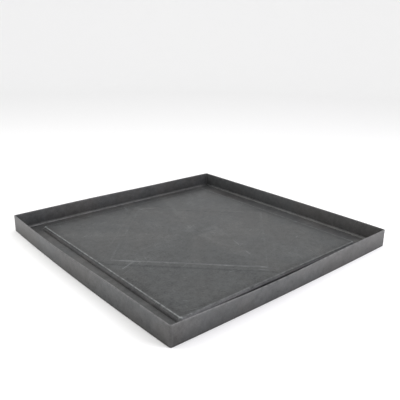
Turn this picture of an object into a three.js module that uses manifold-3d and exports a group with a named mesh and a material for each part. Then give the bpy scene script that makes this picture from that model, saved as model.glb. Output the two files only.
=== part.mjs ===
// A low, square spill containment pallet for four drums, in millimetres, +Z up.
// It is built from black polyethylene sheet: an open sump tray made of a floor sheet, four walls and
// their weld beads, and a raised load deck that rests on the sump floor and lifts straight out.
// The origin is on the ground under the middle of the tray. Front is -Y, right is +X.

import * as THREE from 'three';
import { mergeVertices } from 'three/addons/utils/BufferGeometryUtils.js';
import Module from 'manifold-3d';

// ---- Driving dimensions ----

const SIDE = 1372;               // outside of the tray, both ways
const HEIGHT = 89;               // ground to the top of the rim
const SHEET = 6;                 // thickness of every sheet piece
const CORNER_R = 11;             // outside radius of the tray's upright corners
const RIM_R = 1.6;               // rounding of the rim's two edges
const FOOT_R = 4;                // rounding of the wall's outer bottom edge
const GAP = 0.3;                 // gap kept between pieces that touch

const GUTTER_X = 110;            // outside of the tray to the deck's foot, at the left and right
const GUTTER_Y = 86;             // outside of the tray to the deck's foot, at the front and back
const DECK_TOP = 24;             // ground to the deck's top face
const DECK_SLOPE_RUN = 3;        // the deck's sides slope outwards by this much...
const DECK_SLOPE_FALL = 4;       // ...for this much of height
const DECK_CORNER_R = 20;        // outside radius of the deck's corners, at the foot
const DECK_EDGE_R = 6;           // rounding of the deck's top edge
const DRAIN_GAP = 5;             // height left open for liquid, under the ribs and two of the skirts

const RIDGE_DISTANCE = 378;      // middle of the deck to the middle of each of the four ridges
const RIDGE_WIDTH = 58;          // width of a ridge at its foot
const RIDGE_CREST = 40;          // width of a ridge's flat crest
const RIDGE_RISE = 1.4;          // height of a ridge above the deck
const RIDGE_MARGIN = 16;         // flat border left between the ridges and the deck's edge

const FLOOR_BEAD = 9;            // leg of the weld bead between the walls and the floor
const FLOOR_BEAD_BULGE = 5.4;    // where the bead's round face is drawn to, along each leg

const BEARER_COUNT = 6;          // bearers under the deck, side by side
const BEARER_WIDTH = 20;
const BEARER_PITCH = 184;        // middle of one bearer to the middle of the next
const BEARER_END_GAP = 24;       // end of a bearer to the skirt, so that liquid passes round it
const RIB_ROWS = [-300, 0, 300]; // where the rows of ribs between the bearers stand, along Y
const RIB_WIDTH = 12;

const STOP_SIDE = 40;            // side of a square deck stop, seen from above
const STOP_HEIGHT = 8;
const STOP_CLEARANCE = 3;        // play between the top of a deck stop and the skirts

const CURVE_STEPS = 5;           // straight lines in each rounded edge of a section
const CORNER_STEPS = 32;         // straight lines in a full turn of an upright corner

// ---- Dimensions that follow from them ----

const HALF = SIDE / 2;
const HALF_INSIDE = HALF - SHEET;
const FOOT_HALF_X = HALF - GUTTER_X;
const FOOT_HALF_Y = HALF - GUTTER_Y;
const UNDER_DECK = DECK_TOP - SHEET - GAP;
const ON_FLOOR = SHEET + GAP;
const CLEAR_OF_FLOOR = SHEET + DRAIN_GAP;
const SLOPE_ANGLE = Math.atan2(DECK_SLOPE_FALL, DECK_SLOPE_RUN);
const SKIRT_WIDTH = SHEET / Math.sin(SLOPE_ANGLE);

// The skirts on the right and left stand on the floor. The other two let liquid in under the deck.
const ACROSS = { footHalf: FOOT_HALF_X, footHalfAlong: FOOT_HALF_Y, skirtBottom: ON_FLOOR };
const LENGTHWAYS = { footHalf: FOOT_HALF_Y, footHalfAlong: FOOT_HALF_X, skirtBottom: CLEAR_OF_FLOOR };
const SIDES = [
  { name: 'right', turn: 0, ...ACROSS },
  { name: 'back', turn: Math.PI / 2, ...LENGTHWAYS },
  { name: 'left', turn: Math.PI, ...ACROSS },
  { name: 'front', turn: -Math.PI / 2, ...LENGTHWAYS },
];

const CORNERS = [
  { name: 'back_right', turn: 0, x: 1, y: 1 },
  { name: 'back_left', turn: Math.PI / 2, x: -1, y: 1 },
  { name: 'front_left', turn: Math.PI, x: -1, y: -1 },
  { name: 'front_right', turn: -Math.PI / 2, x: 1, y: -1 },
];

// ---- Materials ----

const WALL_COLOUR = 0x3b3b3c;
const DECK_COLOUR = 0x3e4243;
const WELD_COLOUR = 0x2f2f30;
const HIDDEN_COLOUR = 0x4a4a4a;

function plastic(colour, roughness) {
  return new THREE.MeshStandardMaterial({ color: colour, roughness, metalness: 0 });
}

// ---- Solid helpers ----

const wasm = await Module();
wasm.setup();

function toSolid(geometry) {
  const bare = geometry.clone();
  bare.deleteAttribute('normal');
  bare.deleteAttribute('uv');
  const merged = mergeVertices(bare, 1e-4);
  return new wasm.Manifold(new wasm.Mesh({
    numProp: 3,
    vertProperties: merged.attributes.position.array,
    triVerts: new Uint32Array(merged.index.array),
  }));
}

function toGeometry(solid) {
  const mesh = solid.getMesh();
  const geometry = new THREE.BufferGeometry();
  geometry.setAttribute('position', new THREE.BufferAttribute(mesh.vertProperties, 3));
  geometry.setIndex(new THREE.BufferAttribute(mesh.triVerts, 1));
  return geometry;
}

// A section drawn with X outwards and Y upwards, run along the Y axis with its middle at Y = 0.
function strip(section, length) {
  const geometry = new THREE.ExtrudeGeometry(section, {
    depth: length,
    bevelEnabled: false,
    curveSegments: CURVE_STEPS,
  });
  geometry.rotateX(Math.PI / 2);
  geometry.translate(0, length / 2, 0);
  return geometry;
}

// Cuts both ends of a strip at 45 degrees, as the ends of a picture frame's pieces are cut.
// A point that lies inwards of the outer face is drawn back from the end by the same amount.
function mitreEnds(geometry, outerFace) {
  const points = geometry.attributes.position;
  for (let i = 0; i < points.count; i += 1) {
    const inwards = outerFace - points.getX(i);
    points.setY(i, points.getY(i) - Math.sign(points.getY(i)) * inwards);
  }
  return geometry;
}

function boxBetween(low, high) {
  const geometry = new THREE.BoxGeometry(high[0] - low[0], high[1] - low[1], high[2] - low[2]);
  geometry.translate((low[0] + high[0]) / 2, (low[1] + high[1]) / 2, (low[2] + high[2]) / 2);
  return geometry;
}

function roundedRectangle(halfX, halfY, radius) {
  const outline = new THREE.Shape();
  outline.absarc(halfX - radius, halfY - radius, radius, 0, Math.PI / 2);
  outline.absarc(radius - halfX, halfY - radius, radius, Math.PI / 2, Math.PI);
  outline.absarc(radius - halfX, radius - halfY, radius, Math.PI, 1.5 * Math.PI);
  outline.absarc(halfX - radius, radius - halfY, radius, 1.5 * Math.PI, 2 * Math.PI);
  outline.closePath();
  return outline;
}

const pallet = new THREE.Group();

function place(parent, name, geometry, material, turn = 0, x = 0, y = 0) {
  const mesh = new THREE.Mesh(geometry, material);
  mesh.name = name;
  mesh.rotation.z = turn;
  mesh.position.set(x, y, 0);
  parent.add(mesh);
}

// ---- Sump tray ----

// Upright sheet with a rounded rim and a rounded outer foot. outer is where its outer face stands.
function wallSection(outer) {
  const inner = outer - SHEET;
  const section = new THREE.Shape();
  section.moveTo(inner, 0);
  section.lineTo(outer - FOOT_R, 0);
  section.absarc(outer - FOOT_R, FOOT_R, FOOT_R, -Math.PI / 2, 0);
  section.absarc(outer - RIM_R, HEIGHT - RIM_R, RIM_R, 0, Math.PI / 2);
  section.absarc(inner + RIM_R, HEIGHT - RIM_R, RIM_R, Math.PI / 2, Math.PI);
  section.closePath();
  return section;
}

function sumpFloor() {
  const half = HALF_INSIDE - GAP;
  const outline = roundedRectangle(half, half, CORNER_R - SHEET - GAP);
  return new THREE.ExtrudeGeometry(outline, {
    depth: SHEET,
    bevelEnabled: false,
    curveSegments: CORNER_STEPS / 4,
  });
}

// A quarter of a ring turned from a section, towards +X and +Y. The ring's middle is at the origin.
function quarterRing(section, radius) {
  const ring = new THREE.LatheGeometry(section.getPoints(CURVE_STEPS), CORNER_STEPS);
  ring.rotateX(Math.PI / 2);
  const quadrant = boxBetween([0, 0, -1], [radius + 1, radius + 1, HEIGHT + 1]);
  return toGeometry(toSolid(ring).intersect(toSolid(quadrant)));
}

// Weld bead in the angle between a wall's inner face and the floor.
function floorBead() {
  const wallFace = HALF_INSIDE - GAP;
  const floorFace = ON_FLOOR;
  const section = new THREE.Shape();
  section.moveTo(wallFace, floorFace);
  section.lineTo(wallFace, floorFace + FLOOR_BEAD);
  section.quadraticCurveTo(
    wallFace - FLOOR_BEAD_BULGE,
    floorFace + FLOOR_BEAD_BULGE,
    wallFace - FLOOR_BEAD,
    floorFace,
  );
  section.closePath();
  const length = 2 * (HALF - CORNER_R - GAP);
  return mitreEnds(strip(section, length), wallFace);
}

// How far the deck's sloping side stands inwards of its foot, at a height.
function slopeInset(height) {
  return (height - ON_FLOOR) / Math.tan(SLOPE_ANGLE);
}

// Square block on the sump floor, just inside a corner of the deck. It keeps the deck from sliding.
function deckStop(corner) {
  const geometry = new THREE.BoxGeometry(STOP_SIDE, STOP_SIDE, STOP_HEIGHT);
  const inwards = slopeInset(ON_FLOOR + STOP_HEIGHT) + SKIRT_WIDTH + STOP_CLEARANCE + STOP_SIDE / 2;
  const x = corner.x * (FOOT_HALF_X - inwards);
  const y = corner.y * (FOOT_HALF_Y - inwards);
  geometry.translate(x, y, ON_FLOOR + STOP_HEIGHT / 2);
  return geometry;
}

function buildTray() {
  const tray = new THREE.Group();
  const wallLength = 2 * (HALF - CORNER_R - GAP);
  place(tray, 'sump_floor', sumpFloor(), plastic(WALL_COLOUR, 0.45));
  for (const side of SIDES) {
    const wall = strip(wallSection(HALF), wallLength);
    place(tray, `wall_${side.name}`, wall, plastic(WALL_COLOUR, 0.45), side.turn);
    place(tray, `floor_weld_${side.name}`, floorBead(), plastic(WELD_COLOUR, 0.5), side.turn);
  }
  for (const corner of CORNERS) {
    const bead = quarterRing(wallSection(CORNER_R), CORNER_R);
    const x = corner.x * (HALF - CORNER_R);
    const y = corner.y * (HALF - CORNER_R);
    place(tray, `corner_weld_${corner.name}`, bead, plastic(WALL_COLOUR, 0.45), corner.turn, x, y);
    place(tray, `deck_stop_${corner.name}`, deckStop(corner), plastic(HIDDEN_COLOUR, 0.6));
  }
  return tray;
}

// ---- Load deck ----

// The deck sheet without its ridges: rounded rectangles stacked from the underside, up the slope and
// round the top edge, with a closing face at each end.
function deckSheet() {
  const arcStart = DECK_EDGE_R * Math.tan(SLOPE_ANGLE / 2);
  const arcInset = slopeInset(DECK_TOP) + arcStart;
  const levels = [{ inset: slopeInset(DECK_TOP - SHEET), height: DECK_TOP - SHEET }];
  for (let i = 0; i <= CURVE_STEPS; i += 1) {
    const angle = SLOPE_ANGLE * (1 - i / CURVE_STEPS);
    const height = DECK_TOP - DECK_EDGE_R * (1 - Math.cos(angle));
    levels.push({ inset: arcInset - DECK_EDGE_R * Math.sin(angle), height });
  }

  const vertices = [];
  const triangles = [];
  let count = 0;
  levels.forEach(({ inset, height }, level) => {
    const radius = DECK_CORNER_R - inset;
    const outline = roundedRectangle(FOOT_HALF_X - inset, FOOT_HALF_Y - inset, radius);
    const points = outline.getPoints(CORNER_STEPS / 4).slice(0, -1);
    count = points.length;
    points.forEach((point, i) => {
      const next = (i + 1) % count;
      const below = (level - 1) * count;
      const above = level * count;
      vertices.push(point.x, point.y, height);
      if (level > 0) {
        triangles.push(below + i, below + next, above + next);
        triangles.push(below + i, above + next, above + i);
      }
    });
  });
  const top = (levels.length - 1) * count;
  for (let i = 1; i < count - 1; i += 1) {
    triangles.push(0, i + 1, i);
    triangles.push(top, top + i, top + i + 1);
  }
  const geometry = new THREE.BufferGeometry();
  geometry.setAttribute('position', new THREE.Float32BufferAttribute(vertices, 3));
  geometry.setIndex(triangles);
  return geometry;
}

// Deck sheet and its four low ridges that stiffen it, each across one corner. A lathe of four steps
// turns a ridge's section into a square ring with its corners on the axes, and the parts of the ring
// that would run over the deck's edge are cut away.
function deckPlate() {
  const sunk = DECK_TOP - SHEET / 2;
  const crest = DECK_TOP + RIDGE_RISE;
  const section = [
    [-RIDGE_WIDTH / 2, sunk],
    [RIDGE_WIDTH / 2, sunk],
    [RIDGE_WIDTH / 2, DECK_TOP],
    [RIDGE_CREST / 2, crest],
    [-RIDGE_CREST / 2, crest],
    [-RIDGE_WIDTH / 2, DECK_TOP],
    [-RIDGE_WIDTH / 2, sunk],
  ].map(([across, height]) => new THREE.Vector2((RIDGE_DISTANCE + across) * Math.SQRT2, height));
  const ring = new THREE.LatheGeometry(section, 4);
  ring.rotateX(Math.PI / 2);
  const insideX = FOOT_HALF_X - slopeInset(DECK_TOP) - RIDGE_MARGIN;
  const insideY = FOOT_HALF_Y - slopeInset(DECK_TOP) - RIDGE_MARGIN;
  const inside = boxBetween([-insideX, -insideY, 0], [insideX, insideY, HEIGHT]);
  const ridges = toSolid(ring).intersect(toSolid(inside));
  return toGeometry(toSolid(deckSheet()).add(ridges));
}

// Sloping sheet under the deck's edge. foot is where the slope would meet the floor.
function skirtSection(foot, bottom) {
  const lower = foot - slopeInset(bottom);
  const upper = foot - slopeInset(UNDER_DECK);
  const section = new THREE.Shape();
  section.moveTo(lower - SKIRT_WIDTH, bottom);
  section.lineTo(lower, bottom);
  section.lineTo(upper, UNDER_DECK);
  section.lineTo(upper - SKIRT_WIDTH, UNDER_DECK);
  section.closePath();
  return section;
}

function bearer(x) {
  const end = FOOT_HALF_Y - slopeInset(UNDER_DECK) - SKIRT_WIDTH - BEARER_END_GAP;
  const low = [x - BEARER_WIDTH / 2, -end, ON_FLOOR];
  const high = [x + BEARER_WIDTH / 2, end, UNDER_DECK];
  return boxBetween(low, high);
}

// Rib across the bay that starts at the bearer standing at x, clear of the floor by the drain gap.
function rib(x, y) {
  const low = [x + BEARER_WIDTH / 2 + GAP, y - RIB_WIDTH / 2, CLEAR_OF_FLOOR];
  const high = [x + BEARER_PITCH - BEARER_WIDTH / 2 - GAP, y + RIB_WIDTH / 2, UNDER_DECK];
  return boxBetween(low, high);
}

function buildDeck() {
  const deck = new THREE.Group();
  place(deck, 'deck_plate', deckPlate(), plastic(DECK_COLOUR, 0.4));
  for (const side of SIDES) {
    const section = skirtSection(side.footHalf, side.skirtBottom);
    const skirt = strip(section, 2 * (side.footHalfAlong - DECK_CORNER_R - GAP));
    place(deck, `deck_skirt_${side.name}`, skirt, plastic(WALL_COLOUR, 0.45), side.turn);
  }
  for (const corner of CORNERS) {
    const bead = quarterRing(skirtSection(DECK_CORNER_R, ON_FLOOR), DECK_CORNER_R);
    const name = `deck_corner_weld_${corner.name}`;
    const x = corner.x * (FOOT_HALF_X - DECK_CORNER_R);
    const y = corner.y * (FOOT_HALF_Y - DECK_CORNER_R);
    place(deck, name, bead, plastic(WALL_COLOUR, 0.45), corner.turn, x, y);
  }
  for (let i = 0; i < BEARER_COUNT; i += 1) {
    const x = (i - (BEARER_COUNT - 1) / 2) * BEARER_PITCH;
    place(deck, `deck_bearer_${i + 1}`, bearer(x), plastic(HIDDEN_COLOUR, 0.6));
    if (i < BEARER_COUNT - 1) {
      RIB_ROWS.forEach((y, row) => {
        place(deck, `deck_rib_${i + 1}_${row + 1}`, rib(x, y), plastic(HIDDEN_COLOUR, 0.6));
      });
    }
  }
  return deck;
}

pallet.add(buildTray(), buildDeck());

export default pallet;
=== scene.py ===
"""The finished look of the spill containment pallet: a low sump tray of black plastic sheet and a load deck.

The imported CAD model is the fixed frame, and most sizes and places are read from its nodes. All lengths are in
metres, +Z is up, the front is -Y and the right is +X.
"""

import math

import bpy
import numpy as np
from mathutils import Matrix, Vector, noise


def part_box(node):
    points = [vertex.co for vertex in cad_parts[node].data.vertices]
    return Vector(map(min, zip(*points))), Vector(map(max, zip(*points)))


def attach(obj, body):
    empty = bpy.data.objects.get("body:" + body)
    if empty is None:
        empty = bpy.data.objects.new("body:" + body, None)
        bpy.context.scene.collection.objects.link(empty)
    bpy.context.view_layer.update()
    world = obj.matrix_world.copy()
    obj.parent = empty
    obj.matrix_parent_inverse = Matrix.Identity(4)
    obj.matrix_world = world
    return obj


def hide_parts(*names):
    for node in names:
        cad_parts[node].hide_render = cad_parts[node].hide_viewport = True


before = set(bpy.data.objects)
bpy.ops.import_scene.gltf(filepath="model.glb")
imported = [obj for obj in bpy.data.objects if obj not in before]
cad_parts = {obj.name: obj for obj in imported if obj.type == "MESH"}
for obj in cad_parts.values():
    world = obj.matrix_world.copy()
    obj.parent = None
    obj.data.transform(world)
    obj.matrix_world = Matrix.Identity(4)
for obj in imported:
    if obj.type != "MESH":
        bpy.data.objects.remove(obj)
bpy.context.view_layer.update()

MM = 0.001
UPWARDS = Vector((0, 0, 1))

# ---- Where the sides and corners of the tray are ----

SIDES = {
    "right": Vector((1, 0, 0)),
    "back": Vector((0, 1, 0)),
    "left": Vector((-1, 0, 0)),
    "front": Vector((0, -1, 0)),
}
CORNERS = {
    "back_right": Vector((1, 1, 0)),
    "back_left": Vector((-1, 1, 0)),
    "front_left": Vector((-1, -1, 0)),
    "front_right": Vector((1, -1, 0)),
}


def along(outwards):
    """The direction that runs along a side, for the direction that points out of it."""
    return Vector((-outwards.y, outwards.x, 0))


def reach(node, direction):
    """Where a CAD node begins and ends along an axis from the middle of the tray's underside."""
    low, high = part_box(node)
    ends = sorted((low.dot(direction), high.dot(direction)))
    return ends[0], ends[1]


# ---- Mesh helpers ----


SMOOTH_BELOW = math.radians(40)
ROUND_STEPS = 4


def new_piece(name, vertices, faces, material, body, nodes):
    """A mesh object that rides on a body and stands for some CAD nodes."""
    mesh = bpy.data.meshes.new(name)
    mesh.from_pydata(vertices, [], faces)
    mesh.validate()
    mesh.materials.append(material)
    mesh.shade_smooth()
    mesh.set_sharp_from_angle(angle=SMOOTH_BELOW)
    piece = bpy.data.objects.new(name, mesh)
    bpy.context.scene.collection.objects.link(piece)
    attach(piece, body)
    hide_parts(*nodes)
    return piece


def set_layer(piece, name, values):
    """Stores one number from 0 to 1 for each vertex, for the materials to read."""
    layer = piece.data.attributes.new(name, "FLOAT", "POINT")
    layer.data.foreach_set("value", np.asarray(values, np.float32))


def set_wear_and_highlight(piece, values):
    """Stores how worn each vertex is, together with the painted highlights on rims, corners, the deck's bend
    and a ridge. The materials lighten those places by it.
    """
    set_layer(piece, "wear_and_highlight", values)


def rounded(corners):
    """A closed outline with round corners. Each corner is (distance, height, radius), anticlockwise."""
    outline = []
    for i, (x, y, radius) in enumerate(corners):
        here = Vector((x, y))
        before = (Vector(corners[i - 1][:2]) - here).normalized()
        after = (Vector(corners[(i + 1) % len(corners)][:2]) - here).normalized()
        if radius == 0:
            outline.append((x, y))
            continue
        half_angle = before.angle(after) / 2
        centre = here + (before + after).normalized() * (radius / math.sin(half_angle))
        first = here + before * (radius / math.tan(half_angle)) - centre
        turn = math.pi - 2 * half_angle
        for k in range(ROUND_STEPS + 1):
            a = turn * k / ROUND_STEPS
            spoke = Vector((
                first.x * math.cos(a) - first.y * math.sin(a),
                first.x * math.sin(a) + first.y * math.cos(a),
            ))
            outline.append(tuple(centre + spoke))
    return outline


def between(a, b, steps):
    """Points between two section points, without the two ends."""
    step_x = (b[0] - a[0]) / steps
    step_y = (b[1] - a[1]) / steps
    return [(a[0] + step_x * i, a[1] + step_y * i) for i in range(1, steps)]


def ring_faces(rings, count):
    """Quads between neighbouring closed rings of vertices, and a cap on each end."""
    faces = []
    for r in range(rings - 1):
        for i in range(count):
            j = (i + 1) % count
            faces.append((r * count + i, r * count + j, (r + 1) * count + j, (r + 1) * count + i))
    faces.append(tuple(reversed(range(count))))
    faces.append(tuple(range((rings - 1) * count, rings * count)))
    return faces


def grid_border(columns, rows):
    """The numbers of the outermost points of a grid that is numbered row by row, anticlockwise."""
    border = list(range(columns))
    border += [r * columns + columns - 1 for r in range(1, rows)]
    border += [(rows - 1) * columns + c for c in range(columns - 2, -1, -1)]
    border += [r * columns for r in range(rows - 2, 0, -1)]
    return border


def sweep_vertices(section, outwards, stations, half_length, shape):
    """Places a section at each station along a side.

    A section point is (distance outwards, height). half_length(distance) is half the strip's length there,
    so a mitred end is a half length that changes with the distance. shape(t, point) moves a point: t runs
    from -1 to 1 along the side.
    """
    tangent = along(outwards)
    vertices = []
    for t in stations:
        for point in section:
            distance, height = shape(t, point)
            level = outwards * distance + tangent * (t * half_length(point[0]))
            vertices.append((level.x, level.y, height))
    return vertices


def turned_corner(section, low, high, signs, steps):
    """Turns a section a quarter of the way round, to fill the box of a rounded corner piece."""
    centre_x = low.x if signs.x > 0 else high.x
    centre_y = low.y if signs.y > 0 else high.y
    start = math.atan2(signs.y, signs.x) - math.pi / 4
    vertices = []
    for i in range(steps + 1):
        angle = start + math.pi / 2 * i / steps
        for distance, height in section:
            x = centre_x + distance * math.cos(angle)
            y = centre_y + distance * math.sin(angle)
            vertices.append((x, y, height))
    return vertices


def unchanged(_t, point):
    return point


def even_stations(count):
    return [-1 + 2 * i / count for i in range(count + 1)]


# ---- Materials ----

# How fine each kind of noise is: roughly how many of its features fit in a metre.
CLOUD_SCALE = 2.2
MOTTLE_SCALE = 34.0
FLECK_SCALE = 120.0
PEBBLE_SCALE = 330.0
SMEAR_SCALE = 11.0
CAST_SCALE = 3.7
SPECK_SCALE = 19.0
SPECK_PATCH_SCALE = 8.0
DUST_SCALE = 6.0
RUB_AND_HIGHLIGHT_SCALE = 45.0

# Scratches run four ways. Each set has its direction, how close together its lines are, and their width.
SCRATCH_SETS = ((0.35, 90.0, 0.010), (1.25, 130.0, 0.013), (2.2, 75.0, 0.008), (2.9, 160.0, 0.014))
SCRATCH_STRETCH = 1.4

# Painted shade: the walls darken downwards, gently over their height and again in the last strip above the
# ground.
SHADE_TOP = 85 * MM
FOOT_SHADE_TOP = 12 * MM

BLACK = (0.0, 0.0, 0.0, 1.0)
DUST = (0.17, 0.165, 0.155, 1.0)
COOL_CAST = (0.97, 1.01, 1.03, 1.0)
WARM_CAST = (1.02, 1.0, 0.98, 1.0)
SPECK_LEVEL = 0.34
BEND_SHADE_DEPTH = 0.45
PLASTIC_IOR = 1.52


class Finish:
    """One material's node tree, with short calls for the nodes that the finishes share."""

    def __init__(self, name):
        self.material = bpy.data.materials.new(name)
        self.material.use_nodes = True
        self.tree = self.material.node_tree
        self.shader = self.tree.nodes["Principled BSDF"]

    def put(self, value, socket):
        if isinstance(value, bpy.types.NodeSocket):
            self.tree.links.new(value, socket)
        else:
            socket.default_value = value

    def node(self, kind, inputs, output=0, **settings):
        made = self.tree.nodes.new(kind)
        for key, value in settings.items():
            setattr(made, key, value)
        for key, value in inputs.items():
            self.put(value, made.inputs[key])
        return made.outputs[output]

    def place(self):
        """The point on the piece, in metres."""
        return self.node("ShaderNodeTexCoord", {}, output="Object")

    def noise(self, where, scale, detail=2.0, roughness=0.5):
        inputs = {"Vector": where, "Scale": scale, "Detail": detail, "Roughness": roughness}
        return self.node("ShaderNodeTexNoise", inputs)

    def maths(self, operation, a, b=0.0, clamp=False):
        return self.node("ShaderNodeMath", {0: a, 1: b}, operation=operation, use_clamp=clamp)

    def ranged(self, value, low, high, to_low=0.0, to_high=1.0):
        inputs = {
            "Value": value,
            "From Min": low,
            "From Max": high,
            "To Min": to_low,
            "To Max": to_high,
        }
        return self.node("ShaderNodeMapRange", inputs, interpolation_type="SMOOTHSTEP")

    def blend(self, factor, a, b):
        """Colour a where the factor is 0, and colour b where it is 1."""
        inputs = {0: factor, 6: a, 7: b}
        return self.node("ShaderNodeMix", inputs, output=2, data_type="RGBA")

    def times(self, a, b):
        """Colour a multiplied by colour b."""
        inputs = {0: 1.0, 6: a, 7: b}
        return self.node("ShaderNodeMix", inputs, output=2, data_type="RGBA", blend_type="MULTIPLY")

    def layer(self, name):
        """A number that is stored at each vertex of the piece. It is 0 where a piece doesn't store it."""
        return self.node("ShaderNodeAttribute", {}, output="Fac", attribute_name=name)

    def scratches(self, where, turn, cross_scale, width):
        """Fine, nearly straight lines: the level lines of a noise that is stretched one way, in patches."""
        inputs = {
            "Vector": where,
            "Location": (-5 - turn, -7, -0.43),
            "Rotation": (0, 0, turn),
            "Scale": (SCRATCH_STRETCH, 1 / cross_scale, 1),
        }
        turned = self.node("ShaderNodeMapping", inputs, vector_type="TEXTURE")
        field = self.noise(turned, scale=1.0, detail=0.0)
        off = self.maths("ABSOLUTE", self.maths("SUBTRACT", field, 0.5))
        line = self.ranged(off, 0.0, width, 1.0, 0.0)
        patches = self.ranged(self.noise(where, scale=9.0 + 2 * turn, detail=3.0), 0.54, 0.66)
        return self.maths("MULTIPLY", line, patches)

    def bump(self, height, strength, distance, below=None):
        inputs = {"Height": height, "Strength": strength, "Distance": distance}
        if below is not None:
            inputs["Normal"] = below
        return self.node("ShaderNodeBump", inputs)


def grey(level, tint=(1.0, 1.0, 1.0)):
    return (level * tint[0], level * tint[1], level * tint[2], 1.0)


def sheet_plastic(name, level, tint, roughness, scratched, dusty, foot_shade=1.0, wear_and_highlight_level=0.16):
    """Black polyethylene sheet: cloudy shade, pebbled grain, scratches, scuffs, dust, rubbed edges that carry
    painted highlights, and painted shade low down and in the deck's bend.
    """
    f = Finish(name)
    where = f.place()

    # The sheet's own shade, from the slowest variation to the finest.
    clouds = f.noise(where, CLOUD_SCALE, detail=5.0, roughness=0.6)
    mottle = f.noise(where, MOTTLE_SCALE, detail=4.0, roughness=0.65)
    flecks = f.noise(where, FLECK_SCALE, detail=3.0, roughness=0.6)
    pebbles = f.noise(where, PEBBLE_SCALE, detail=3.0, roughness=0.6)
    colour = f.blend(f.ranged(clouds, 0.3, 0.7), grey(level * 0.8, tint), grey(level * 1.2, tint))
    colour = f.blend(f.ranged(mottle, 0.35, 0.75, 0.0, 0.4), colour, grey(level * 1.5, tint))
    colour = f.blend(f.ranged(flecks, 0.4, 0.65, 0.0, 0.65), colour, grey(level * 0.45, tint))
    colour = f.blend(f.ranged(pebbles, 0.4, 0.65, 0.0, 0.5), colour, grey(level * 0.5, tint))

    smear = f.ranged(f.noise(where, SMEAR_SCALE, detail=8.0, roughness=0.75), 0.5, 0.72)
    smear = f.maths("MULTIPLY", smear, 0.45 * scratched)
    colour = f.blend(smear, colour, grey(level * 1.9, tint))

    warm = f.ranged(f.noise(where, CAST_SCALE, detail=4.0), 0.42, 0.62)
    colour = f.times(colour, f.blend(warm, COOL_CAST, WARM_CAST))

    # Scratches, and small light specks where the sheet is nicked.
    lines = 0.0
    for turn, cross_scale, width in SCRATCH_SETS:
        lines = f.maths("MAXIMUM", lines, f.scratches(where, turn, cross_scale, width))
    lines = f.maths("MULTIPLY", lines, scratched)
    colour = f.blend(lines, colour, grey(wear_and_highlight_level, tint))

    specks = f.node("ShaderNodeTexVoronoi", {"Vector": where, "Scale": SPECK_SCALE})
    specks = f.ranged(specks, 0.03, 0.05, 1.0, 0.0)
    rare = f.ranged(f.noise(where, SPECK_PATCH_SCALE), 0.6, 0.64)
    specks = f.maths("MULTIPLY", f.maths("MULTIPLY", specks, rare), scratched)
    colour = f.blend(specks, colour, grey(SPECK_LEVEL, tint))

    # Dust, then painted shade: the feet of upright faces are darkened, and a dark band lies in the deck's bend.
    dust = f.ranged(f.noise(where, DUST_SCALE, detail=7.0, roughness=0.7), 0.4, 0.75)
    dust = f.maths("MULTIPLY", dust, dusty)
    colour = f.blend(dust, colour, DUST)

    # Painted shade: the walls darken towards the ground.
    height = f.node("ShaderNodeSeparateXYZ", {"Vector": where}, output="Z")
    shade = f.ranged(height, 0.0, SHADE_TOP, foot_shade, 1.0)
    shade = f.maths("MULTIPLY", shade, f.ranged(height, 0.0, FOOT_SHADE_TOP, foot_shade, 1.0))
    colour = f.blend(f.maths("SUBTRACT", 1.0, shade), colour, BLACK)
    # Painted shade: a dark band just inside the deck's bend, stored per vertex, stands in for the dark
    # reflection there.
    bend_shade = f.maths("MULTIPLY", f.layer("bend_shade"), BEND_SHADE_DEPTH)
    colour = f.blend(bend_shade, colour, BLACK)

    # Worn places are lightened, and so are the painted highlights stored with the wear.
    patchy_wear_and_highlight = f.ranged(f.noise(where, RUB_AND_HIGHLIGHT_SCALE, detail=5.0), 0.32, 0.62, 0.2, 1.0)
    worn_and_highlight = f.maths("MULTIPLY", f.layer("wear_and_highlight"), patchy_wear_and_highlight, clamp=True)
    colour = f.blend(worn_and_highlight, colour, grey(wear_and_highlight_level, tint))
    f.put(colour, f.shader.inputs["Base Color"])

    # Scratches and dust are duller than the sheet, and smears are shinier.
    rough = f.ranged(clouds, 0.25, 0.75, roughness - 0.05, roughness + 0.05)
    rough = f.maths("ADD", rough, f.maths("MULTIPLY", lines, 0.18))
    rough = f.maths("ADD", rough, f.maths("MULTIPLY", dust, 0.25))
    rough = f.maths("SUBTRACT", rough, f.maths("MULTIPLY", smear, 0.25))
    rough = f.maths("ADD", rough, f.maths("MULTIPLY", f.maths("SUBTRACT", mottle, 0.5), 0.12), clamp=True)
    f.put(rough, f.shader.inputs["Roughness"])
    f.shader.inputs["IOR"].default_value = PLASTIC_IOR

    # The sheen follows the clouds and mottle, and the same painted shade towards the ground dims it.
    shine = f.maths("ADD", f.maths("MULTIPLY", clouds, 0.4), f.maths("MULTIPLY", mottle, 0.7))
    shine = f.maths("ADD", shine, flecks)
    shine = f.maths("MULTIPLY", f.maths("SUBTRACT", shine, 0.55), shade, clamp=True)
    f.put(shine, f.shader.inputs["Specular IOR Level"])

    relief = f.bump(pebbles, 0.3, 0.4 * MM)
    relief = f.bump(mottle, 0.25, 0.8 * MM, relief)
    relief = f.bump(lines, -0.3, 0.3 * MM, relief)
    f.put(relief, f.shader.inputs["Normal"])
    return f.material


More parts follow.
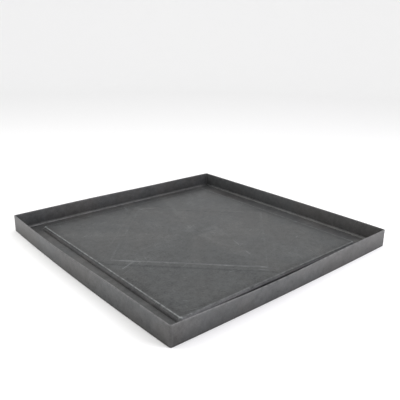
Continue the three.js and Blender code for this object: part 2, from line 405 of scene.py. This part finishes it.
# All the sheets are the same black plastic. The skirt's level is lighter, as painted light on the sloping
# edges. The deck's is darker, as painted shade for dark reflections on it. The deck's slight blue-green tint is
# a painted reflection.
WALL = sheet_plastic("wall_sheet", 0.072, (1.0, 0.99, 1.0), 0.42, 0.25, 0.08, 0.62, 0.12)
FLOOR = sheet_plastic("floor_sheet", 0.046, (1.0, 1.0, 1.0), 0.48, 0.45, 0.25)
DECK = sheet_plastic("deck_sheet", 0.033, (0.95, 1.01, 1.02), 0.38, 0.5, 0.10, 1.0, 0.25)
SKIRT = sheet_plastic("skirt_sheet", 0.078, (1.0, 0.99, 1.02), 0.36, 0.4, 0.12)
WELD = sheet_plastic("weld_bead", 0.045, (1.0, 1.0, 1.0), 0.40, 0.1, 0.15)
SUPPORT = sheet_plastic("support_bar", 0.045, (1.0, 1.0, 1.0), 0.55, 0.3, 0.15)


# ---- Sump tray ----

RIM_ROUND = 2.0 * MM
FOOT_ROUND = 4.0 * MM
# How far down from the rim its wear and painted highlight reach.
RIM_WEAR_AND_HIGHLIGHT_BAND = 5 * MM
WALL_STATIONS = 96
WALL_STEPS = 10
CORNER_STEPS = 14
CORNER_WEAR_AND_HIGHLIGHT = 0.22

# How the thin walls bow outwards between their corners: the bow of the foot and of the rim in the middle
# of the side, a wave of the rim, and where along the side the wave crosses over.
WALL_BOW = {
    "left": (12 * MM, 9 * MM, 5 * MM, 0.1),
    "front": (7 * MM, 10 * MM, 7 * MM, 0.2),
    "right": (3 * MM, 7 * MM, 3 * MM, -0.3),
    "back": (2 * MM, 6 * MM, -4 * MM, 0.1),
}
WAVE_TURN = 2.6
RIM_SAG = 0.5 * MM
SAG_TURN = 5.3

FLOOR_GRID = 100
FLOOR_SWELL = 0.5 * MM
FLOOR_SWELL_SCALE = 3.1
EDGE_FOLLOW_POWER = 8

BEAD_STEPS = 8
BEAD_BULGE = 0.16
BEAD_BULGE_SHARE = 0.7
BEAD_HEIGHT_SHARE = 0.1
RIPPLE_PITCH = 6 * MM
RIPPLE_DEPTH = 0.25 * MM
RIPPLE_STATIONS = 4
WANDER = 0.35 * MM
WANDER_TURN = 23


def wall_bow(side, t, up):
    """How far a wall stands outwards of straight.

    t runs from -1 to 1 along the wall, and up from 0 to 1 with height.
    """
    foot, rim, wave, crossing = WALL_BOW[side]
    swing = foot + (rim - foot + wave * math.sin(WAVE_TURN * (crossing - t))) * up
    return swing * (1 - t * t)


def wall_section(inner, outer, bottom, top):
    """The outline of an upright sheet, with a rounded rim and foot, as points (distance, height)."""
    outline = rounded([
        (inner, bottom, 0),
        (outer, bottom, FOOT_ROUND),
        (outer, top, RIM_ROUND),
        (inner, top, RIM_ROUND),
    ])
    section = []
    for i, point in enumerate(outline):
        following = outline[(i + 1) % len(outline)]
        section.append(point)
        if abs(point[1] - following[1]) > (top - bottom) / 2:
            section += between(point, following, WALL_STEPS)
    return section


def rim_wear_and_highlight(height, top):
    """Walls are rubbed along the rim, and the lighter rim is also a painted highlight."""
    return max(0.0, 1 - (top - height) / RIM_WEAR_AND_HIGHLIGHT_BAND) ** 1.5


def build_wall(side):
    node = f"wall_{side}"
    outwards = SIDES[side]
    inner, outer = reach(node, outwards)
    bottom, top = reach(node, UPWARDS)
    _, half_length = reach(node, along(outwards))

    def lean(t, point):
        up = (point[1] - bottom) / (top - bottom)
        sag = RIM_SAG * math.sin(SAG_TURN * t + outwards.x) * (1 - t * t) * up
        return point[0] + wall_bow(side, t, up), point[1] + sag

    section = wall_section(inner, outer, bottom, top)
    stations = even_stations(WALL_STATIONS)
    vertices = sweep_vertices(section, outwards, stations, lambda _d: half_length, lean)
    faces = ring_faces(len(stations), len(section))
    piece = new_piece(f"{node}_sheet", vertices, faces, WALL, "tray", [node])
    set_wear_and_highlight(piece, [rim_wear_and_highlight(v[2], top) for v in vertices])


def floor_point(x, y, high):
    """Moves a point near the floor's edge out with the foot of the wall. The middle stays where it is."""
    out_x = wall_bow("right", y / high.y, 0) if x > 0 else -wall_bow("left", -y / high.y, 0)
    out_y = wall_bow("back", -x / high.x, 0) if y > 0 else -wall_bow("front", x / high.x, 0)
    return x + out_x * (x / high.x) ** EDGE_FOLLOW_POWER, y + out_y * (y / high.y) ** EDGE_FOLLOW_POWER


def floor_swell(x, y, high):
    """The floor's top rises and falls a little between its welds."""
    held = (1 - (x / high.x) ** 2) * (1 - (y / high.y) ** 2)
    place = Vector((x * FLOOR_SWELL_SCALE, y * FLOOR_SWELL_SCALE, 1.3))
    return FLOOR_SWELL * noise.noise(place) * held


def build_floor():
    """The floor sheet: a grid of points for its underside and one for its top, joined round the edge."""
    low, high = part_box("sump_floor")
    side = FLOOR_GRID + 1
    upper = side * side
    vertices = []
    for level in (low.z, high.z):
        for j in range(side):
            for i in range(side):
                x = low.x + (high.x - low.x) * i / FLOOR_GRID
                y = low.y + (high.y - low.y) * j / FLOOR_GRID
                raised = floor_swell(x, y, high) if level > low.z else 0.0
                vertices.append((*floor_point(x, y, high), level + raised))
    faces = []
    for j in range(FLOOR_GRID):
        for i in range(FLOOR_GRID):
            a = j * side + i
            faces.append((a, a + side, a + side + 1, a + 1))
            faces.append((upper + a, upper + a + 1, upper + a + side + 1, upper + a + side))
    border = grid_border(side, side)
    for i, a in enumerate(border):
        b = border[(i + 1) % len(border)]
        faces.append((a, b, upper + b, upper + a))
    new_piece("sump_floor_sheet", vertices, faces, FLOOR, "tray", ["sump_floor"])


def build_corner(corner):
    node = f"corner_weld_{corner}"
    low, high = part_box(node)
    radius = high.x - low.x
    inner, outer = reach("wall_right", SIDES["right"])
    thickness = outer - inner
    section = wall_section(radius - thickness, radius, low.z, high.z)
    vertices = turned_corner(section, low, high, CORNERS[corner], CORNER_STEPS)
    faces = ring_faces(CORNER_STEPS + 1, len(section))
    piece = new_piece(f"{node}_round", vertices, faces, WALL, "tray", [node])
    # The whole corner is lightened a little: wear, and a painted highlight down the rounded corner.
    set_wear_and_highlight(piece, [max(CORNER_WEAR_AND_HIGHLIGHT, rim_wear_and_highlight(v[2], high.z)) for v in vertices])


def build_floor_weld(side):
    """An extruded weld bead, with the small even ripples that the welding shoe leaves."""
    node = f"floor_weld_{side}"
    outwards = SIDES[side]
    near, wall_face = reach(node, outwards)
    bottom, top = reach(node, UPWARDS)
    _, half_length = reach(node, along(outwards))
    leg = wall_face - near
    section = [(wall_face, bottom)]
    for i in range(BEAD_STEPS + 1):
        s = i / BEAD_STEPS
        bulge = BEAD_BULGE * leg * math.sin(math.pi * s) * BEAD_BULGE_SHARE
        section.append((wall_face - leg * s - bulge, top - (top - bottom) * s + bulge))
    stations = even_stations(round(2 * half_length / RIPPLE_PITCH) * RIPPLE_STATIONS)

    def ripple(t, point):
        crest = math.sin(2 * math.pi * t * half_length / RIPPLE_PITCH)
        depth = RIPPLE_DEPTH * crest + WANDER * math.sin(WANDER_TURN * t) * (1 - t * t)
        free = min(1.0, (wall_face - point[0]) / leg * 3) * min(1.0, (point[1] - bottom) / leg * 3)
        return point[0] - depth * free + wall_bow(side, t, BEAD_HEIGHT_SHARE), point[1] + depth * free

    def mitred(distance):
        return half_length - (wall_face - distance)

    vertices = sweep_vertices(section, outwards, stations, mitred, ripple)
    faces = ring_faces(len(stations), len(section))
    new_piece(f"{node}_bead", vertices, faces, WELD, "tray", [node])


# ---- Load deck ----

DECK_SHEET = 6 * MM
DECK_EDGE_ROUND = 6 * MM
DECK_SLOPE = math.atan2(4, 3)
DECK_GRID = 6 * MM
RIDGE_DISTANCE = 378 * MM
RIDGE_FOOT = 29 * MM
RIDGE_CREST = 19 * MM
RIDGE_MARGIN = 16 * MM
DECK_SWELL = 0.7 * MM
DECK_SWELL_EDGE = 60 * MM
SLOW_SWELL_SCALE = 2.3
QUICK_SWELL_SCALE = 6.5
QUICK_SWELL_SHARE = 0.35
BEND_STEPS = 6

SKIRT_STATIONS = 40
SKIRT_EDGE_WEAR = 2 * MM
SKIRT_INNER_ROUND = 0.8 * MM
SKIRT_OUTER_ROUND = 1.6 * MM
DECK_CORNER_STEPS = 10
DECK_CORNER_WEAR_AND_HIGHLIGHT = 0.25
BAR_EDGE = 1.2 * MM

# Wear, with painted highlights on the deck's bend and on the front left ridge: what share of full wear each
# part has, and how wide the worn band is.
FRONT_LEFT_RIDGE_WEAR_AND_HIGHLIGHT = 0.85
OTHER_RIDGE_WEAR_AND_HIGHLIGHT = 0.2
RIDGE_WEAR_AND_HIGHLIGHT_WIDTH = 6 * MM
RIDGE_WEAR_AND_HIGHLIGHT_SCALE = 17
FRONT_AND_BACK_EDGE_WEAR_AND_HIGHLIGHT = 0.45
EDGE_WEAR_AND_HIGHLIGHT_WIDTH = 3 * MM
CORNER_WEAR_AND_HIGHLIGHT_WIDTH = 7 * MM
WEAR_AND_HIGHLIGHT_LINE_SHARE = 0.8
# Where the painted shade in the deck's bend begins inside the bend, and how far it fades.
BEND_SHADE_START = 8 * MM
BEND_SHADE_FADE = 36 * MM

# Distances in from the sheet's lower edge: where the flat top begins, and where the bend meets the slope.
BEND_END = DECK_SHEET / math.tan(DECK_SLOPE) + DECK_EDGE_ROUND * math.tan(DECK_SLOPE / 2)
BEND_START = BEND_END - DECK_EDGE_ROUND * math.sin(DECK_SLOPE)


def smooth_step(value):
    value = min(1.0, max(0.0, value))
    return value * value * (3 - 2 * value)


def ridge_height(x, y, from_edge, rise):
    """Height of the low ridges across the deck's corners. They run out before the deck's edge."""
    off = abs((abs(x) + abs(y)) / math.sqrt(2) - RIDGE_DISTANCE)
    across = smooth_step((RIDGE_FOOT - off) / (RIDGE_FOOT - RIDGE_CREST))
    return rise * across * smooth_step((from_edge - BEND_END) / RIDGE_MARGIN)


def ridge_rub_and_highlight(x, y, from_edge):
    """The inner edge of a ridge's crest is rubbed lighter, most of all on the ridge at the front left, and this
    lighter line is also a painted highlight.
    """
    off = (abs(x) + abs(y)) / math.sqrt(2) - (RIDGE_DISTANCE - RIDGE_CREST)
    patchy = 0.55 + 0.9 * noise.noise(Vector((x * RIDGE_WEAR_AND_HIGHLIGHT_SCALE, y * RIDGE_WEAR_AND_HIGHLIGHT_SCALE, 2.9)))
    share = FRONT_LEFT_RIDGE_WEAR_AND_HIGHLIGHT if x < 0 and y < 0 else OTHER_RIDGE_WEAR_AND_HIGHLIGHT
    inside = smooth_step((from_edge - BEND_END) / RIDGE_MARGIN)
    return share * patchy * max(0.0, 1 - abs(off) / RIDGE_WEAR_AND_HIGHLIGHT_WIDTH) * inside


def edge_rub_and_highlight(x, y, half_x, half_y, corner, from_edge):
    """The bend is rubbed lighter, and the lighter band is also a painted highlight on the rounded bend. The
    sides and corners get more of it than the front and the back.
    """
    near_corner = abs(x) > half_x - 1.5 * corner and abs(y) > half_y - 1.5 * corner
    at_side = half_x - abs(x) < half_y - abs(y)
    share = 1.0 if near_corner or at_side else FRONT_AND_BACK_EDGE_WEAR_AND_HIGHLIGHT
    width = CORNER_WEAR_AND_HIGHLIGHT_WIDTH if near_corner else EDGE_WEAR_AND_HIGHLIGHT_WIDTH
    return share * max(0.0, 1 - abs(from_edge - BEND_END * WEAR_AND_HIGHLIGHT_LINE_SHARE) / width)


def painted_bend_shade(from_edge):
    """A painted shade: a soft dark band just inside the bend, standing in for the dark reflection there."""
    inside = from_edge - BEND_END
    return smooth_step(inside / BEND_SHADE_START) * (1 - smooth_step((inside - BEND_SHADE_START) / BEND_SHADE_FADE))


def edge_height(from_edge):
    """Height above the underside: up the slope, round the bend, then flat."""
    if from_edge < BEND_START:
        return from_edge * math.tan(DECK_SLOPE)
    short = max(0.0, BEND_END - from_edge)
    return DECK_SHEET - DECK_EDGE_ROUND + math.sqrt(DECK_EDGE_ROUND**2 - short**2)


def deck_swell(x, y):
    """The slow rise and fall of a flat sheet that has been loaded and welded."""
    slow = noise.noise(Vector((x * SLOW_SWELL_SCALE, y * SLOW_SWELL_SCALE, 4.7)))
    quick = noise.noise(Vector((x * QUICK_SWELL_SCALE, y * QUICK_SWELL_SCALE, 9.1)))
    return DECK_SWELL * (slow + QUICK_SWELL_SHARE * quick)


def deck_lines(half, corner):
    """Grid lines across the deck: close together at the edges, even in between."""
    bend_angles = [DECK_SLOPE * (1 - i / BEND_STEPS) for i in range(BEND_STEPS + 1)]
    edge = [0.0, BEND_START / 2] + [BEND_END - DECK_EDGE_ROUND * math.sin(a) for a in bend_angles]
    edge.append((BEND_END + corner) / 2)
    inside = round((half - corner) / DECK_GRID)
    middle = [(half - corner) * i / inside for i in range(-inside, inside + 1)]
    return [d - half for d in edge] + middle + [half - d for d in reversed(edge)]


def rounded_corner(x, y, half_x, half_y, corner):
    """Moves a grid point in a corner square onto circles about the corner's centre."""
    px = (abs(x) - (half_x - corner)) / corner
    py = (abs(y) - (half_y - corner)) / corner
    if px <= 0 or py <= 0:
        return x, y
    reach_out = max(px, py)
    angle = math.pi / 4 * (py / px) if px >= py else math.pi / 2 - math.pi / 4 * (px / py)
    new_x = half_x - corner + corner * reach_out * math.cos(angle)
    new_y = half_y - corner + corner * reach_out * math.sin(angle)
    return math.copysign(new_x, x), math.copysign(new_y, y)


def build_deck_plate():
    low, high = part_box("deck_plate")
    half_x, half_y = high.x, high.y
    corner = half_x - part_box("deck_corner_weld_back_right")[0].x
    rise = high.z - low.z - DECK_SHEET
    xs = deck_lines(half_x, corner)
    ys = deck_lines(half_y, corner)
    vertices = []
    wear_and_highlight = []
    bend_shade = []
    for y in ys:
        for x in xs:
            from_edge = min(half_x - abs(x), half_y - abs(y))
            px, py = rounded_corner(x, y, half_x, half_y, corner)
            swell = deck_swell(px, py) * smooth_step(from_edge / DECK_SWELL_EDGE)
            raised = ridge_height(px, py, from_edge, rise) + swell
            vertices.append((px, py, low.z + edge_height(from_edge) + raised))
            # Wear on the bend and ridge, with painted highlights.
            rub_and_highlight = edge_rub_and_highlight(x, y, half_x, half_y, corner, from_edge)
            wear_and_highlight.append(max(rub_and_highlight, ridge_rub_and_highlight(px, py, from_edge)))
            # Painted shade just inside the bend.
            bend_shade.append(painted_bend_shade(from_edge))

    columns, rows = len(xs), len(ys)
    faces = []
    for r in range(rows - 1):
        for c in range(columns - 1):
            first = r * columns + c
            faces.append((first, first + 1, first + columns + 1, first + columns))
    faces.append(tuple(reversed(grid_border(columns, rows))))
    piece = new_piece("deck_plate_sheet", vertices, faces, DECK, "deck", ["deck_plate"])
    set_wear_and_highlight(piece, wear_and_highlight)
    set_layer(piece, "bend_shade", bend_shade)


def skirt_section(lower_edge, bottom, top):
    """A sloping strip with its lower edges taken off. Its top meets the underside of the deck sheet."""
    lean_in = (top - bottom) / math.tan(DECK_SLOPE)
    width = DECK_SHEET / math.sin(DECK_SLOPE)
    return rounded([
        (lower_edge - width, bottom, SKIRT_INNER_ROUND),
        (lower_edge, bottom, SKIRT_OUTER_ROUND),
        (lower_edge - lean_in, top, 0),
        (lower_edge - lean_in - width, top, 0),
    ])


def skirt_wear(height, bottom):
    """Skirts are rubbed a little along their lower edge."""
    return 0.5 * max(0.0, 1 - (height - bottom) / SKIRT_EDGE_WEAR)


def build_skirt(side):
    node = f"deck_skirt_{side}"
    outwards = SIDES[side]
    _, lower_edge = reach(node, outwards)
    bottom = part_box(node)[0].z
    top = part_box("deck_plate")[0].z
    _, half_length = reach(node, along(outwards))
    section = skirt_section(lower_edge, bottom, top)
    stations = even_stations(SKIRT_STATIONS)
    vertices = sweep_vertices(section, outwards, stations, lambda _d: half_length, unchanged)
    faces = ring_faces(len(stations), len(section))
    piece = new_piece(f"{node}_sheet", vertices, faces, SKIRT, "deck", [node])
    set_wear_and_highlight(piece, [skirt_wear(v[2], bottom) for v in vertices])


def build_deck_corner(corner):
    node = f"deck_corner_weld_{corner}"
    low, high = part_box(node)
    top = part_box("deck_plate")[0].z
    section = skirt_section(high.x - low.x, low.z, top)
    vertices = turned_corner(section, low, high, CORNERS[corner], DECK_CORNER_STEPS)
    faces = ring_faces(DECK_CORNER_STEPS + 1, len(section))
    piece = new_piece(f"{node}_round", vertices, faces, SKIRT, "deck", [node])
    # The whole rounded corner is lightened a little: wear, and a painted highlight.
    set_wear_and_highlight(piece, [max(DECK_CORNER_WEAR_AND_HIGHLIGHT, skirt_wear(v[2], low.z)) for v in vertices])


def build_bar(node, body):
    """A sawn plastic bar: the CAD box with its edges taken off."""
    low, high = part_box(node)
    corners = [(x, y, z) for z in (low.z, high.z) for y in (low.y, high.y) for x in (low.x, high.x)]
    faces = [(0, 2, 3, 1), (4, 5, 7, 6), (0, 1, 5, 4), (2, 6, 7, 3), (0, 4, 6, 2), (1, 3, 7, 5)]
    piece = new_piece(f"{node}_bar", corners, faces, SUPPORT, body, [node])
    bevel = piece.modifiers.new("sawn_edges", "BEVEL")
    bevel.width = BAR_EDGE
    bevel.segments = 3


# ---- Stage, light and camera ----


STUDIO_RINGS = (1.2, 3.0, 7.0)
STUDIO_FLAT = 7.0
STUDIO_BEND = 2.5
STUDIO_BEND_STEPS = 12
STUDIO_TURNS = 64
STUDIO_PAINT = (0.93, 0.93, 0.93, 1.0)

SKY_STRENGTH = 0.90

# Each softbox: its name, place, side in metres, power in watts and colour. All aim at the tray's middle.
SOFTBOXES = (
    ("overhead_softbox", (-0.3, -0.4, 4.2), 4.0, 20, (1.0, 1.0, 1.0)),
    ("left_softbox", (-2.6, 1.7, 2.3), 2.0, 43, (1.0, 0.99, 0.96)),
    ("right_softbox", (1.3, -3.1, 2.1), 2.0, 82, (0.96, 0.94, 1.0)),
)


def build_stage():
    """A pale round floor whose rim curves up. From low angles the curve shows as a soft band of shade."""
    profile = [(radius, 0.0) for radius in STUDIO_RINGS]
    for i in range(1, STUDIO_BEND_STEPS + 1):
        angle = math.pi / 2 * i / STUDIO_BEND_STEPS
        profile.append((STUDIO_FLAT + STUDIO_BEND * math.sin(angle), STUDIO_BEND * (1 - math.cos(angle))))
    turns = STUDIO_TURNS
    vertices = [(0.0, 0.0, 0.0)]
    for radius, height in profile:
        for k in range(turns):
            angle = 2 * math.pi * k / turns
            vertices.append((radius * math.cos(angle), radius * math.sin(angle), height))
    faces = [(0, 1 + k, 1 + (k + 1) % turns) for k in range(turns)]
    for r in range(len(profile) - 1):
        for k in range(turns):
            a = 1 + r * turns + k
            b = 1 + r * turns + (k + 1) % turns
            faces.append((a, a + turns, b + turns, b))
    mesh = bpy.data.meshes.new("studio_floor")
    mesh.from_pydata(vertices, [], faces)
    mesh.shade_smooth()
    paint = bpy.data.materials.new("studio_paint")
    paint.use_nodes = True
    shader = paint.node_tree.nodes["Principled BSDF"]
    shader.inputs["Base Color"].default_value = STUDIO_PAINT
    shader.inputs["Roughness"].default_value = 0.9
    shader.inputs["Specular IOR Level"].default_value = 0.1
    mesh.materials.append(paint)
    floor = bpy.data.objects.new("studio_floor", mesh)
    bpy.context.scene.collection.objects.link(floor)


def add_softbox(name, place, side, power, colour):
    light = bpy.data.lights.new(name, "AREA")
    light.shape = "RECTANGLE"
    light.size = side
    light.size_y = side
    light.energy = power
    light.color = colour
    lamp = bpy.data.objects.new(name, light)
    lamp.location = place
    lamp.rotation_euler = (-Vector(place)).to_track_quat("-Z", "Y").to_euler()
    bpy.context.scene.collection.objects.link(lamp)


def build_lights():
    world = bpy.data.worlds.new("studio_world")
    world.use_nodes = True
    sky = world.node_tree.nodes["Background"]
    sky.inputs["Color"].default_value = (1.0, 1.0, 1.0, 1.0)
    sky.inputs["Strength"].default_value = SKY_STRENGTH
    bpy.context.scene.world = world
    for softbox in SOFTBOXES:
        add_softbox(*softbox)


CAMERA_AZIMUTH = math.radians(-40.95)
CAMERA_ELEVATION = math.radians(18.46)
CAMERA_ROLL = math.radians(0.76)
CAMERA_DISTANCE = 2.585
CAMERA_ACROSS = 0.025
CAMERA_UP = 0.200
CAMERA_LENS = 44.3
CAMERA_SENSOR = 36


def build_camera():
    """Looks down over the front left corner. The view is shifted across and up from the tray's middle."""
    a, e = CAMERA_AZIMUTH, CAMERA_ELEVATION
    back = Vector((math.sin(a) * math.cos(e), -math.cos(a) * math.cos(e), math.sin(e)))
    right = Vector((math.cos(a), math.sin(a), 0))
    up = back.cross(right)
    place = back * CAMERA_DISTANCE + right * CAMERA_ACROSS + up * CAMERA_UP
    level = Matrix((right, up, back)).transposed().to_4x4()
    data = bpy.data.cameras.new("camera")
    data.sensor_width = CAMERA_SENSOR
    data.lens = CAMERA_LENS
    camera = bpy.data.objects.new("camera", data)
    camera.matrix_world = Matrix.Translation(place) @ level @ Matrix.Rotation(CAMERA_ROLL, 4, "Z")
    bpy.context.scene.collection.objects.link(camera)
    bpy.context.scene.camera = camera


# ---- Build everything ----


def build_tray():
    build_floor()
    for side in SIDES:
        build_wall(side)
        build_floor_weld(side)
    for corner in CORNERS:
        build_corner(corner)
        build_bar(f"deck_stop_{corner}", "tray")


def build_deck():
    build_deck_plate()
    for side in SIDES:
        build_skirt(side)
    for corner in CORNERS:
        build_deck_corner(corner)
    for node in sorted(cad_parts):
        if node.startswith(("deck_bearer_", "deck_rib_")):
            build_bar(node, "deck")


build_tray()
build_deck()
build_stage()
build_lights()
build_camera()
bpy.context.scene.view_settings.view_transform = "Standard"
